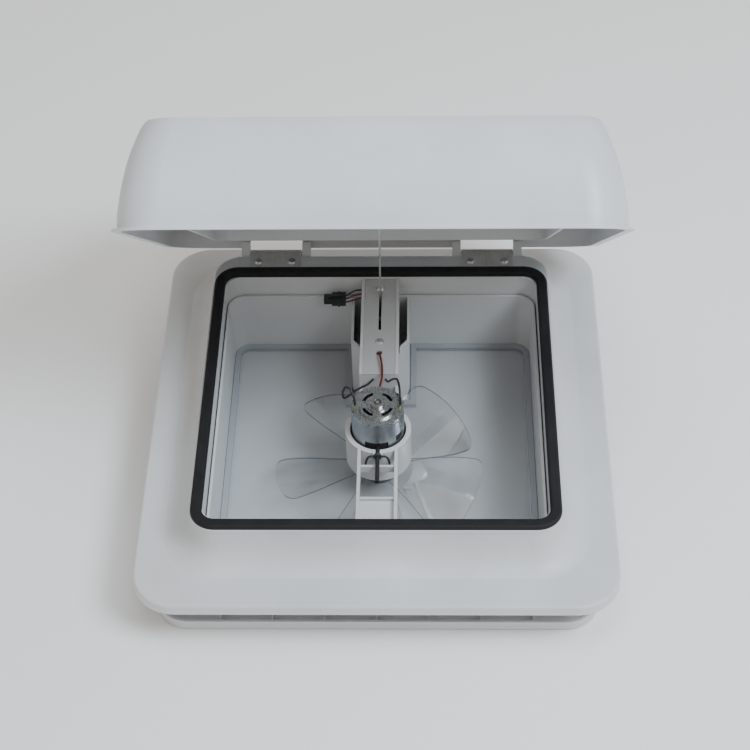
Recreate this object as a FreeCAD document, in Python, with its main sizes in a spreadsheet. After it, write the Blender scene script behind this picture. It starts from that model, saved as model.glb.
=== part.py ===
"""Roof vent with a hinged lid, an insect screen and a 12 V fan, for a 356 mm (14 inch) roof opening.

Frame: origin at the centre of the roof opening on the roof surface, +Z up, +Y towards the lid
hinge, +X to the right when the hinge is at the back. Lengths are in millimetres.
"""
import FreeCAD, Part
import Sketcher
import math
import os
from FreeCAD import Placement, Rotation, Vector

# ------------------------------------------------------------------ driving dimensions

DIMENSIONS = [
    # roof flange and upstand of the base
    ("flange_width", 460), ("flange_depth", 484), ("flange_shift", 8), ("flange_height", 12),
    ("flange_corner", 42), ("wall", 3), ("opening", 329), ("opening_corner", 20),
    ("deck_top", 51), ("ledge_top", 47), ("deck_width", 353), ("ledge_rear", 200), ("cove", 30),
    ("sleeve_bottom", -20), ("boss_pitch", 110), ("boss_radius", 4.5),
    # gasket on the deck
    ("gasket_width", 350), ("gasket_band", 11), ("gasket_height", 6), ("gasket_corner", 24),
    # room side garnish
    ("garnish_width", 428), ("garnish_face", -53), ("garnish_rim", 13), ("garnish_corner", 33),
    ("sheet", 2.5), ("garnish_sleeve", 326), ("sleeve_top", 25), ("rib_pitch", 50), ("rib_count", 7),
    # screen in the foot of the garnish
    ("screen_width", 320), ("screen_band", 6), ("screen_height", 5),
    # control housing behind the fan
    ("housing_width", 61), ("housing_front", 78), ("housing_chamfer", 16),
    # support bar across the opening, and the cup that holds the motor
    ("bar_width", 39.5), ("rail", 3.2), ("bar_top", 48), ("bar_step", 27), ("rail_top", 30),
    ("rail_bottom", 20), ("floor_low", 22), ("motor_line", -30), ("cup_radius", 32.8),
    ("cup_bore", 28), ("cup_bottom", -12),
    # motor and fan
    ("can_radius", 26), ("can_height", 61), ("shaft_radius", 1.6), ("fan_radius", 106),
    ("fan_level", -25), ("hub_radius", 19), ("blade_count", 5), ("blade_sheet", 1.6),
    # lid
    ("hinge_back", 207), ("hinge_level", 45), ("open_angle", 45.5), ("lid_width", 450),
    ("lid_depth", 402), ("lid_rear", 6), ("lid_rim", 6.2), ("lid_height", 99), ("lid_corner", 40),
    ("lip", 5), ("seal_rib", 350), ("hinge_spread", 113.5), ("bracket_width", 54),
    ("pin_radius", 2.5), ("fit", 0.06),
    # lift arm, sector gear and worm
    ("arm_back", 131.5), ("arm_level", 21), ("arm_length", 180), ("arm_sheet", 2),
    ("track_level", 85), ("gear_module", 1.25), ("gear_teeth", 36), ("worm_radius", 6),
]

OPEN_ARM = 105.6        # angle of the lift arm above the horizontal with the lid open, degrees


class Size:
    """A length that knows both its value and the spreadsheet expression it comes from."""

    def __init__(self, value, text):
        self.value = value
        self.text = text

    def join(self, other, sign, value):
        return Size(value, "(%s %s %s)" % (self.text, sign, other.text))

    def __add__(self, other):
        other = as_size(other)
        return self.join(other, "+", self.value + other.value)

    def __sub__(self, other):
        other = as_size(other)
        return self.join(other, "-", self.value - other.value)

    def __mul__(self, other):
        other = as_size(other)
        return self.join(other, "*", self.value * other.value)

    def __truediv__(self, other):
        other = as_size(other)
        return self.join(other, "/", self.value / other.value)

    def __radd__(self, other):
        return as_size(other) + self

    def __rsub__(self, other):
        return as_size(other) - self

    def __rmul__(self, other):
        return as_size(other) * self

    def __neg__(self):
        return as_size(0) - self

    def __float__(self):
        return float(self.value)

    def __int__(self):
        return int(self.value)


def as_size(number):
    return number if isinstance(number, Size) else Size(float(number), "%.6f" % float(number))


def make_sheet(doc):
    """The spreadsheet of driving dimensions, one alias to a row."""
    sheet = doc.addObject("Spreadsheet::Sheet", "Dims")
    for row, (alias, value) in enumerate(DIMENSIONS, start=1):
        sheet.set("A%d" % row, alias)
        sheet.set("B%d" % row, str(value))
        sheet.setAlias("B%d" % row, alias)
    doc.recompute()


doc = FreeCAD.newDocument("roof_vent")
make_sheet(doc)


class Dims:
    """Driving dimensions by name, each as a Size bound to its cell."""

    def __init__(self):
        for alias, value in DIMENSIONS:
            setattr(self, alias, Size(float(value), "Dims." + alias))


d = Dims()
subparts = []           # (node name, object) in the order they are made

X, Y, Z = Vector(1, 0, 0), Vector(0, 1, 0), Vector(0, 0, 1)
AXIS_TURN = {"z": Rotation(), "x": Rotation(Y, 90), "y": Rotation(X, -90)}


# ------------------------------------------------------------------ helpers for primitives

def bind(obj, prop, size):
    """Bind a property to the sheet, or set it where the size is a plain number."""
    size = as_size(size)
    if "Dims" in size.text:
        obj.setExpression(prop, size.text)
    else:
        setattr(obj, prop, size.value)


def put(obj, at, turn=None):
    """Place an object, with each coordinate bound to the sheet."""
    at = [as_size(c) for c in at]
    obj.Placement = Placement(Vector(*[c.value for c in at]), turn or Rotation())
    for axis, c in zip("xyz", at):
        if "Dims" in c.text:
            obj.setExpression("Placement.Base." + axis, c.text)
    return obj


def box(x, y, z, name="Box"):
    """A box between three (low, high) pairs."""
    obj = doc.addObject("Part::Box", name)
    for prop, (low, high) in zip(("Length", "Width", "Height"), (x, y, z)):
        bind(obj, prop, as_size(high) - low)
    return put(obj, (x[0], y[0], z[0]))


def slab(half, y, z, name="Slab"):
    """A box centred on X = 0."""
    half = as_size(half)
    return box((-half, half), y, z, name)


def rod(radius, length, at, axis="z", name="Rod"):
    """A cylinder that starts at a point and runs along an axis."""
    obj = doc.addObject("Part::Cylinder", name)
    bind(obj, "Radius", radius)
    bind(obj, "Height", length)
    return put(obj, at, AXIS_TURN[axis])


def cone(low_radius, high_radius, length, at, axis="z", name="Cone"):
    obj = doc.addObject("Part::Cone", name)
    bind(obj, "Radius1", low_radius)
    bind(obj, "Radius2", high_radius)
    bind(obj, "Height", length)
    return put(obj, at, AXIS_TURN[axis])


def fuse(*shapes):
    if len(shapes) == 1:
        return shapes[0]
    obj = doc.addObject("Part::MultiFuse", "Fuse")
    obj.Shapes = list(shapes)
    obj.Refine = True
    return obj


def group(*shapes):
    """Separate solids that share a node, such as a set of screws."""
    obj = doc.addObject("Part::Compound", "Group")
    obj.Links = list(shapes)
    return obj


def cut(base, *tools):
    obj = doc.addObject("Part::Cut", "Cut")
    obj.Base = base
    obj.Tool = fuse(*tools)
    return obj


def ring(outer, inner, length, at, axis="z"):
    """A tube: one cylinder less another."""
    return cut(rod(outer, length, at, axis), rod(inner, length, at, axis))


def feature(shape, name="Shape"):
    """A sub-part whose shape comes from Part's own functions."""
    obj = doc.addObject("Part::Feature", name)
    obj.Shape = shape
    return obj


def at_height(level):
    """A test for edges that lie wholly at one level."""
    def wanted(edge):
        bounds = edge.BoundBox
        return abs(bounds.ZMin - level) < 0.01 and abs(bounds.ZMax - level) < 0.01
    return wanted


def done(obj, label, placement=None):
    """Name a sub-part, place it and remember it."""
    obj.Label = label
    if placement is not None:
        obj.Placement = placement
    subparts.append((label, obj))
    return obj


# ------------------------------------------------------------------ helpers for bodies

def new_body(name):
    return doc.addObject("PartDesign::Body", name)


def origin_plane(body, role):
    return next(f for f in body.Origin.OriginFeatures if f.Role == role)


def new_sketch(body, name, role="XY_Plane", level=0, shift=0):
    """A sketch on one of the body's own planes, lifted by level and moved along Y by shift."""
    sketch = body.newObject("Sketcher::SketchObject", name)
    sketch.AttachmentSupport = [(origin_plane(body, role), "")]
    sketch.MapMode = "FlatFace"
    level, shift = as_size(level), as_size(shift)
    sketch.AttachmentOffset = Placement(Vector(0, shift.value, level.value), Rotation())
    if "Dims" in level.text:
        sketch.setExpression("AttachmentOffset.Base.z", level.text)
    if "Dims" in shift.text:
        sketch.setExpression("AttachmentOffset.Base.y", shift.text)
    return sketch


def add_rounded_rect(sketch, width, depth, radius):
    """A rounded rectangle about the sketch's origin, with three driving constraints."""
    width, depth, radius = as_size(width), as_size(depth), as_size(radius)
    half_x, half_y, r = width.value / 2, depth.value / 2, radius.value
    first = sketch.GeometryCount
    corners = [(half_x - r, half_y - r, 0), (r - half_x, half_y - r, 90),
               (r - half_x, r - half_y, 180), (half_x - r, r - half_y, 270)]
    for x, y, start in corners:
        circle = Part.Circle(Vector(x, y, 0), Z, r)
        sketch.addGeometry(Part.ArcOfCircle(circle, math.radians(start), math.radians(start + 90)))
    for n, (x, y, start) in enumerate(corners):
        a = math.radians(start + 90)
        nx, ny, _ = corners[(n + 1) % 4]
        step = Vector(r * math.cos(a), r * math.sin(a), 0)
        sketch.addGeometry(Part.LineSegment(Vector(x, y, 0) + step, Vector(nx, ny, 0) + step))
    rules = []
    for n in range(4):
        arc, line, following = first + n, first + 4 + n, first + (n + 1) % 4
        rules.append(Sketcher.Constraint("Tangent", arc, 2, line, 1))
        rules.append(Sketcher.Constraint("Tangent", line, 2, following, 1))
        rules.append(Sketcher.Constraint("Horizontal" if n % 2 == 0 else "Vertical", line))
    for n in range(1, 4):
        rules.append(Sketcher.Constraint("Equal", first, first + n))
    rules.append(Sketcher.Constraint("Symmetric", first, 3, first + 2, 3, -1, 1))
    sketch.addConstraint(rules)
    for name, size, rule in (
            ("width", width, ("DistanceX", first + 1, 2, first, 1)),
            ("depth", depth, ("DistanceY", first + 2, 2, first + 1, 1)),
            ("radius", radius, ("Radius", first))):
        number = sketch.addConstraint(Sketcher.Constraint(*rule, size.value))
        label = "%s_%d" % (name, first)
        sketch.renameConstraint(number, label)
        if "Dims" in size.text:
            sketch.setExpression("Constraints." + label, size.text)
    return sketch


def rect_sketch(body, name, width, depth, radius, level=0, shift=0, inner=None):
    """A sketch of one rounded rectangle, or of two for a ring."""
    sketch = new_sketch(body, name, level=level, shift=shift)
    add_rounded_rect(sketch, width, depth, radius)
    if inner is not None:
        add_rounded_rect(sketch, *inner)
    return sketch


def pad(body, sketch, length, name="Pad"):
    obj = body.newObject("PartDesign::Pad", name)
    obj.Profile = sketch
    bind(obj, "Length", length)
    return obj


def pocket(body, sketch, length, name="Pocket"):
    """Cut downwards from the sketch, and check that something was cut."""
    doc.recompute()
    before = body.Shape.Volume
    obj = body.newObject("PartDesign::Pocket", name)
    obj.Profile = sketch
    bind(obj, "Length", length)
    doc.recompute()
    if not body.Shape.Volume < before - 1:
        raise RuntimeError(name + " cut nothing")
    return obj


def loft(body, sketches, subtractive=False, name="Loft"):
    kind = "PartDesign::SubtractiveLoft" if subtractive else "PartDesign::AdditiveLoft"
    obj = body.newObject(kind, name)
    obj.Profile = sketches[0]
    obj.Sections = sketches[1:]
    return obj


def round_edges(body, radius, wanted, name="Round"):
    """A PartDesign fillet on the edges that a test picks from the tip."""
    doc.recompute()
    tip = body.Tip
    names = ["Edge%d" % n for n, edge in enumerate(tip.Shape.Edges, start=1) if wanted(edge)]
    obj = body.newObject("PartDesign::Fillet", name)
    obj.Base = (tip, names)
    bind(obj, "Radius", radius)
    return obj


# ------------------------------------------------------------------ base frame and gasket

# Share of the cove's height against share of its reach, from foot to top.
COVE = [(0.0, 1.0), (0.10, 0.62), (0.30, 0.30), (0.62, 0.09), (1.0, 0.0)]


def upstand_section(body, name, level, reach, inset):
    """One section of the upstand: square at the top, with the ledge reaching back."""
    width = d.deck_width + 2 * reach - 2 * inset
    depth = d.deck_width / 2 + d.ledge_rear + 2 * reach * 0.9 - 2 * inset
    shift = (d.ledge_rear - d.deck_width / 2) / 2
    corner = d.opening_corner + 8 + reach * 0.9 - inset * 0.5
    return rect_sketch(body, name, width, depth, corner, level, shift)


def base_frame():
    body = new_body("BaseFrame")
    rim = rect_sketch(body, "FlangeOutline", d.flange_width, d.flange_depth, d.flange_corner,
                      shift=d.flange_shift)
    pad(body, rim, d.flange_height)
    round_edges(body, 3, at_height(d.flange_height.value), "FlangeEdge")
    foot = d.flange_height - 0.5
    rise = d.ledge_top - foot
    sections = [upstand_section(body, "Upstand%d" % n, foot + rise * height, d.cove * reach, 0)
                for n, (height, reach) in enumerate(COVE)]
    loft(body, sections, name="Upstand")
    deck = rect_sketch(body, "Deck", d.deck_width, d.deck_width, d.opening_corner + 8,
                       d.ledge_top - 1)
    pad(body, deck, d.deck_top - d.ledge_top + 1)
    inset = d.wall
    hollow = [upstand_section(body, "Hollow%d" % n, foot - inset + rise * height, d.cove * reach, inset)
              for n, (height, reach) in enumerate(COVE)]
    loft(body, hollow, True, "Hollow")
    tray = rect_sketch(body, "Tray", d.flange_width - 2 * inset, d.flange_depth - 2 * inset,
                       d.flange_corner - inset, d.flange_height - inset, d.flange_shift)
    pocket(body, tray, d.flange_height - inset)
    well = rect_sketch(body, "Well", d.opening, d.opening, d.opening_corner, d.deck_top)
    pocket(body, well, d.deck_top)
    sleeve = rect_sketch(body, "Sleeve", d.opening + 2 * inset, d.opening + 2 * inset,
                         d.opening_corner + inset, d.sleeve_bottom,
                         inner=(d.opening, d.opening, d.opening_corner))
    pad(body, sleeve, d.deck_top - d.sleeve_bottom)
    bead = rect_sketch(body, "Bead", d.deck_width, d.deck_width, d.opening_corner + 8, d.deck_top,
                       inner=(d.gasket_width + 0.4, d.gasket_width + 0.4, d.gasket_corner + 0.2))
    pad(body, bead, 1.6)
    return body


def screw_places():
    """The eight places where screws pull the garnish up to the base."""
    reach = d.opening / 2 + d.wall + 3.5
    for side in (-1, 1):
        for along in (-1, 1):
            yield d.boss_pitch * side, reach * along
            yield reach * along, d.boss_pitch * side


def make_base():
    bosses = []
    for x, y in screw_places():
        bosses.append(rod(d.boss_radius, d.flange_height - 1 - d.sleeve_bottom, (x, y, d.sleeve_bottom)))
    holes = [rod(1.9, 20, (x, y, d.sleeve_bottom)) for x, y in screw_places()]
    base = cut(fuse(base_frame(), *bosses), *holes, *hinge_screw_holes(), *bar_screw_holes())
    done(base, "base_frame")


def make_gasket():
    body = new_body("Gasket")
    inner = d.gasket_width - 2 * d.gasket_band
    band = rect_sketch(body, "Band", d.gasket_width, d.gasket_width, d.gasket_corner, d.deck_top,
                       inner=(inner, inner, d.gasket_corner - d.gasket_band))
    pad(body, band, d.gasket_height)
    round_edges(body, 2.6, at_height((d.deck_top + d.gasket_height).value), "Crown")
    done(body, "lid_gasket")


# ------------------------------------------------------------------ garnish, housing and screen

def garnish_ribs():
    """Stiffening ribs between the sleeve and the rim on all four sides."""
    near = d.garnish_sleeve / 2 - 1
    far = d.garnish_width / 2 - 1
    level = (d.garnish_face + 1, d.garnish_face + d.garnish_rim - 1.2)
    ribs = []
    for n in range(int(d.rib_count)):
        middle = d.rib_pitch * (n - (d.rib_count.value - 1) / 2)
        span = (middle - 1, middle + 1)
        ribs.append(box(span, (-far, -near), level))
        ribs.append(box(span, (near, far), level))
        ribs.append(box((-far, -near), span, level))
        ribs.append(box((near, far), span, level))
    return ribs


def make_garnish():
    body = new_body("Garnish")
    face = rect_sketch(body, "Face", d.garnish_width, d.garnish_width, d.garnish_corner, d.garnish_face,
                       inner=(d.garnish_sleeve - 2 * d.sheet, d.garnish_sleeve - 2 * d.sheet,
                              d.opening_corner - 4))
    pad(body, face, d.sheet)
    rim_inner = d.garnish_width - 2 * d.sheet
    rim = rect_sketch(body, "Rim", d.garnish_width, d.garnish_width, d.garnish_corner, d.garnish_face,
                      inner=(rim_inner, rim_inner, d.garnish_corner - d.sheet))
    pad(body, rim, d.garnish_rim)
    sleeve_inner = d.garnish_sleeve - 2 * d.sheet
    sleeve = rect_sketch(body, "Sleeve", d.garnish_sleeve, d.garnish_sleeve, d.opening_corner - 1.5,
                         d.garnish_face, inner=(sleeve_inner, sleeve_inner, d.opening_corner - 4))
    pad(body, sleeve, d.sleeve_top - d.garnish_face)
    low_outer = at_height(d.garnish_face.value)

    def outer_foot(edge):
        return low_outer(edge) and max(abs(edge.BoundBox.XMax), abs(edge.BoundBox.YMax),
                                       abs(edge.BoundBox.XMin), abs(edge.BoundBox.YMin)) > 200
    round_edges(body, 1.8, outer_foot, "FootEdge")
    columns = []
    holes = []
    for x, y in screw_places():
        columns.append(rod(5, d.garnish_rim - 2, (x, y, d.garnish_face + 1)))
        holes.append(rod(2.2, 20, (x, y, d.garnish_face - 1)))
        holes.append(rod(4.2, 2.6, (x, y, d.garnish_face - 0.1)))
    done(cut(fuse(body, *garnish_ribs(), *columns), *holes), "garnish")


def make_garnish_screws():
    screws = []
    low = d.garnish_face + 0.2
    for x, y in screw_places():
        head = rod(3.9, 2.2, (x, y, low))
        shank = rod(1.9, d.sleeve_bottom + 16 - low, (x, y, low))
        screws.append(cut(fuse(head, shank), rod(1.1, 1.3, (x, y, low - 0.1))))
    done(group(*screws), "garnish_screws")


def housing_outline(inset):
    """Plan of the control housing: straight sides and a front narrowed by two chamfers."""
    half = d.housing_width.value / 2 - inset
    front = d.housing_front.value + inset
    back = (d.garnish_sleeve / 2 - d.sheet).value - 0.3
    slope = d.housing_chamfer.value
    nose = half - slope * 0.8
    return [Vector(-half, back, 0), Vector(half, back, 0), Vector(half, front + slope, 0),
            Vector(nose, front, 0), Vector(-nose, front, 0), Vector(-half, front + slope, 0)]


def prism(points, low, high):
    wire = Part.makePolygon(points + [points[0]])
    face = Part.Face(wire)
    face.translate(Vector(0, 0, float(low)))
    return face.extrude(Vector(0, 0, float(high) - float(low)))


def make_housing():
    """The tub behind the fan: it holds the lift gear and the switch, and shows only a round knob."""
    low, high = d.garnish_face.value, d.sleeve_top.value
    skin = d.sheet.value
    outer = prism(housing_outline(0), low, high)
    upright = [e for e in outer.Edges
               if abs(e.tangentAt(e.FirstParameter).z) > 0.9 and e.BoundBox.YMax < 120]
    outer = outer.makeFillet(6, upright)
    inner = prism(housing_outline(skin), low + 18 + skin, high + 1)
    recess = prism(housing_outline(skin), low - 1, low + 18)
    tub = outer.cut(inner).cut(recess)
    knob_hole = Part.makeCylinder(4.4, 10, Vector(0, WORM_BACK, low + 15))
    switch_hole = Part.makeBox(13.2, 19.2, 10, Vector(-6.6, SWITCH_BACK - 9.6, low + 15))
    bar_way = Part.makeBox(41, 100, 12, Vector(-20.5, 65, d.rail_bottom.value - 0.2))
    done(feature(tub.cut(knob_hole).cut(switch_hole).cut(bar_way), "Tub"), "control_housing")


def screen_notch(gap):
    """The notch that passes round the control housing."""
    half = d.housing_width / 2 + gap
    front = d.housing_front - gap
    return box((-half, half), (front, d.screen_width), (d.garnish_face - 5, d.garnish_face + 20))


def make_screen():
    band = d.screen_band
    low = d.garnish_face + 0.6
    outer = new_body("ScreenOuter")
    pad(outer, rect_sketch(outer, "Outline", d.screen_width, d.screen_width, d.opening_corner - 5, low),
        d.screen_height)
    inside = d.screen_width - 2 * band
    inner = new_body("ScreenInner")
    pad(inner, rect_sketch(inner, "Window", inside, inside, d.opening_corner - 10, low - 1),
        d.screen_height + 2)
    frame = cut(outer, cut(inner, screen_notch(band + 1)), screen_notch(0.8))
    done(frame, "screen_frame")
    mesh = new_body("Mesh")
    pad(mesh, rect_sketch(mesh, "Sheet", inside - 0.4, inside - 0.4, d.opening_corner - 10.2, low + 2.2), 0.6)
    done(cut(mesh, screen_notch(band + 1.2)), "insect_screen")


# ------------------------------------------------------------------ support bar

WORM_BACK = (d.arm_back - d.gear_module * d.gear_teeth / 2 - d.worm_radius).value
SWITCH_BACK = 138.0
SLOT = (89.5, 145.5)
COVER_SCREWS = (150.5, 73.0)
WIRE_HOLE = 57.0
CLAMP_LEVEL = 31.0
MESH_PHASE = 53          # turn of the worm that sets its thread between the sector's teeth, degrees


def bar_screw_places():
    for side in (-1, 1):
        yield side * 11.0, 1
        yield side * 11.0, -1


def bar_screw_level(along):
    return 31 if along > 0 else 29.5


def bar_screw_holes():
    reach = d.opening / 2
    holes = []
    for x, along in bar_screw_places():
        start = reach - 1 if along > 0 else -reach - 6
        level = bar_screw_level(along)
        holes.append(rod(1.6, 7, (x, start, level), "y"))
    return holes


def make_bar():
    half = d.bar_width / 2
    inner = half - d.rail
    reach = d.opening / 2 - 0.2
    rails = []
    for low, high in ((-half, -inner), (inner, half)):
        rails.append(box((low, high), (-reach, reach), (d.rail_bottom, d.rail_top)))
        rails.append(box((low, high), (d.bar_step, reach), (d.rail_top - 1, d.bar_top)))
    webs = [slab(half - 1, (y - 1.3, y + 1.3), (d.rail_bottom, d.rail_top - 2)) for y in (-77, -117)]
    ends = [slab(half - 1, (reach - 3, reach), (d.rail_bottom, d.bar_top - 3)),
            slab(half - 1, (-reach, 3 - reach), (d.rail_bottom, bar_screw_level(-1) + 3.5)),
            slab(half - 1, (d.bar_step, d.bar_step + 2.5), (d.rail_bottom, d.bar_top - 3))]
    floors = [slab(half - 1, (d.bar_step, reach), (d.rail_bottom, d.rail_bottom + 2.5)),
              slab(half - 1, (-reach, -118), (d.floor_low, d.floor_low + 2.5))]
    posts = [rod(4, d.bar_top - 3 - d.rail_bottom, (0, y, d.rail_bottom)) for y in COVER_SCREWS]
    cup = rod(d.cup_radius, d.rail_top - d.cup_bottom, (0, d.motor_line, d.cup_bottom))
    bore = rod(d.cup_bore, 80, (0, d.motor_line, d.cup_bottom + 3))
    throat = rod(8.5, 20, (0, d.motor_line, d.cup_bottom - 5))
    gear_slot = slab(6.6, (WORM_BACK - 14, 146), (d.rail_bottom - 1, d.rail_bottom + 4))
    worm_hole = rod(9.5, 8, (0, WORM_BACK, d.rail_bottom - 2))
    cheek_way = slab(10.7, (d.arm_back - 9.3, d.arm_back + 9.3), (d.rail_bottom - 1, d.rail_bottom + 4))
    end_ways = [slab(21, (low, low + 6), (d.rail_bottom - 1, d.sleeve_top + 0.3))
                for low in (160.2, -166.2)]
    pilots = [rod(1.6, 40, (0, y, d.rail_bottom + 4)) for y in COVER_SCREWS]
    ends_holes = []
    for x, along in bar_screw_places():
        start = reach - 4 if along > 0 else -reach - 1
        level = bar_screw_level(along)
        ends_holes.append(rod(1.6, 5, (x, start, level), "y"))
    lead_slot = box((-half - 1, -inner + 1), (145.5, 157.6), (36, 43))
    motor_screws = [rod(1.7, 10, (x, d.motor_line, d.cup_bottom - 3)) for x in (-12.5, 12.5)]
    cup_front = d.motor_line - d.cup_radius
    lug = slab(4.5, (cup_front - 3, cup_front + 4), (22, CLAMP_LEVEL))
    clamp = rod(2.2, 20, (0, cup_front - 8, CLAMP_LEVEL), "y")
    solid = fuse(*rails, *webs, *ends, *floors, *posts, cup, lug)
    bar = cut(solid, bore, throat, gear_slot, worm_hole, cheek_way, lead_slot, clamp,
              *end_ways, *pilots, *ends_holes, *motor_screws)
    done(bar, "support_bar")


def make_bar_cover():
    inner = d.bar_width / 2 - d.rail - 0.2
    low = d.bar_top - 3
    plate = slab(inner, (d.bar_step + 0.3, d.opening / 2 - 0.6), (low, d.bar_top - 0.6))
    slot = slab(1.35, SLOT, (low - 1, d.bar_top + 1))
    holes = [rod(2.1, 8, (0, y, low - 2)) for y in COVER_SCREWS]
    wire = rod(3.2, 8, (0, WIRE_HOLE, low - 2))
    done(cut(plate, slot, wire, *holes), "bar_cover")


def pan_screw(at, radius, length, head_radius=4.4, head=1.9):
    """A pan head screw with a cross recess, point down."""
    x, y, z = at
    shank = rod(radius, length, (x, y, z - length))
    dome = cone(head_radius, head_radius * 0.68, head, (x, y, z))
    recess = fuse(box((x - 0.4, x + 0.4), (y - 1.9, y + 1.9), (z + head - 1, z + head + 1)),
                  box((x - 1.9, x + 1.9), (y - 0.4, y + 0.4), (z + head - 1, z + head + 1)))
    return cut(fuse(shank, dome), recess)


def make_bar_screws():
    top = d.bar_top - 0.6
    done(group(*[pan_screw((0, y, top), 1.6, 16) for y in COVER_SCREWS]), "cover_screws")
    screws = []
    reach = d.opening / 2 - 0.2
    for x, along in bar_screw_places():
        level = bar_screw_level(along)
        start = reach - 3 if along > 0 else 3 - reach
        head = rod(3.2, 1.8, (x, start - 1.8 if along > 0 else start, level), "y")
        shank = rod(1.6, 7.5, (x, start if along > 0 else start - 7.5, level), "y")
        screws.append(fuse(head, shank))
    done(group(*screws), "bar_end_screws")


# ------------------------------------------------------------------ motor

CAN_LOW = 0.0


def make_motor():
    """A brushed motor: can, end cap, magnets, bushes, brushes and terminals."""
    line = d.motor_line
    top = CAN_LOW + d.can_height
    can = rod(d.can_radius, d.can_height, (0, line, CAN_LOW))
    collar = rod(8, 4, (0, line, CAN_LOW - 3.5))
    cavity = rod(d.can_radius - 1.4, d.can_height, (0, line, CAN_LOW + 1.4))
    eye = rod(4.0, 10, (0, line, CAN_LOW - 4))
    window = box((-12.5, 10.5), (line - 30, line - 20), (CAN_LOW + 25, CAN_LOW + 37))
    side = box((18, 30), (line - 20, line - 8), (CAN_LOW + 30, CAN_LOW + 40))
    done(cut(fuse(can, collar), cavity, eye, window, side), "motor_can")

    cap = fuse(rod(d.can_radius, 2, (0, line, top)), rod(18.5, 4.4, (0, line, top)),
               rod(10.5, 5.6, (0, line, top)), rod(7.0, 8.6, (0, line, top)))
    spigot = rod(d.can_radius - 1.5, 2, (0, line, top - 2))
    shaft_eye = rod(4.0, 20, (0, line, top - 3))
    vents = []
    for angle in (45, 135, 225, 315):
        arc = cut(rod(16.0, 12, (0, line, top - 4)), rod(12.8, 12, (0, line, top - 4)))
        wedge = doc.addObject("Part::Cylinder", "Wedge")
        wedge.Radius = 20
        wedge.Height = 12
        wedge.Angle = 52
        put(wedge, (0, line, top - 4), Rotation(Z, angle - 26))
        slot = doc.addObject("Part::Common", "Vent")
        slot.Base, slot.Tool = arc, wedge
        vents.append(slot)
    done(cut(fuse(cap, spigot), shaft_eye, *vents), "motor_end_cap")

    bushes = [ring(4.0, d.shaft_radius + d.fit, 5, (0, line, CAN_LOW - 3)),
              ring(4.0, d.shaft_radius + d.fit, 6, (0, line, top + 1.5))]
    done(group(*bushes), "motor_bushes")

    shell = cut(rod(d.can_radius - 1.5, 30, (0, line, 8)), rod(20, 30, (0, line, 8)))
    gap = box((-40, 40), (line - 9, line + 9), (5, 42))
    done(cut(shell, gap), "motor_magnets")

    tabs = []
    brushes = []
    for side in (-1, 1):
        tab = box((22.2 * side - 0.9, 22.2 * side + 0.9), (line - 3, line + 3), (top + 2, top + 4.5))
        tabs.append(tab)
        near, far = sorted((side * 7.6, side * 14))
        brushes.append(box((near, far), (line - 2.2, line + 2.2), (top - 11, top - 5)))
    done(group(*tabs), "motor_terminals")
    done(group(*brushes), "motor_brushes")


def make_rotor():
    line = d.motor_line
    low = d.fan_level - 12
    shaft = rod(d.shaft_radius, d.can_height + 8 - low, (0, line, low))
    done(shaft, "motor_shaft")
    bore = d.shaft_radius
    core = cut(rod(17.5, 24, (0, line, 10)), rod(bore, 30, (0, line, 8)))
    slots = []
    for n in range(5):
        slot = doc.addObject("Part::Box", "Slot")
        slot.Length, slot.Width, slot.Height = 14, 2.4, 30
        turn = Rotation(Z, 72 * n)
        offset = turn.multVec(Vector(9, -1.2, 0))
        slot.Placement = Placement(Vector(0, line.value, 8) + offset, turn)
        slots.append(slot)
    done(cut(core, *slots), "armature_core")
    done(ring(7.2, bore, 9, (0, line, d.can_height - 13)), "commutator")


# ------------------------------------------------------------------ fan

BLADE_PITCH = 22         # degrees


def blade_shape():
    """One clear blade about +X: a wide paddle cut from a pitched, cambered sheet."""
    reach = d.fan_radius.value
    root = d.hub_radius.value - 1.5
    rim = [Vector(reach * math.cos(a), reach * math.sin(a), 0) for a in (-0.40, 0.0, 0.40)]
    lead = Part.BSplineCurve()
    lead.interpolate([rim[2], Vector(80, 37, 0), Vector(48, 24, 0), Vector(root, 11, 0)])
    trail = Part.BSplineCurve()
    trail.interpolate([Vector(root, -13, 0), Vector(46, -24, 0), Vector(74, -36, 0), rim[0]])
    tip = Part.Arc(rim[0], rim[1], rim[2])
    foot = Part.LineSegment(Vector(root, 11, 0), Vector(root, -13, 0))
    wire = Part.Wire([lead.toShape(), foot.toShape(), trail.toShape(), tip.toShape()])
    plan = Part.Face(wire)
    plan.translate(Vector(0, 0, -40))
    prism_shape = plan.extrude(Vector(0, 0, 80))
    corners = [e for e in prism_shape.Edges
               if abs(e.BoundBox.ZLength - 80) < 0.01 and e.BoundBox.XMin > 60]
    prism_shape = prism_shape.makeFillet(11, corners)
    bend = 190.0
    skin = Part.makeCylinder(bend + d.blade_sheet.value, 130, Vector(5, 0, -bend), X)
    skin = skin.cut(Part.makeCylinder(bend, 132, Vector(4, 0, -bend), X))
    skin.rotate(Vector(0, 0, 0), X, BLADE_PITCH)
    return prism_shape.common(skin)


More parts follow.
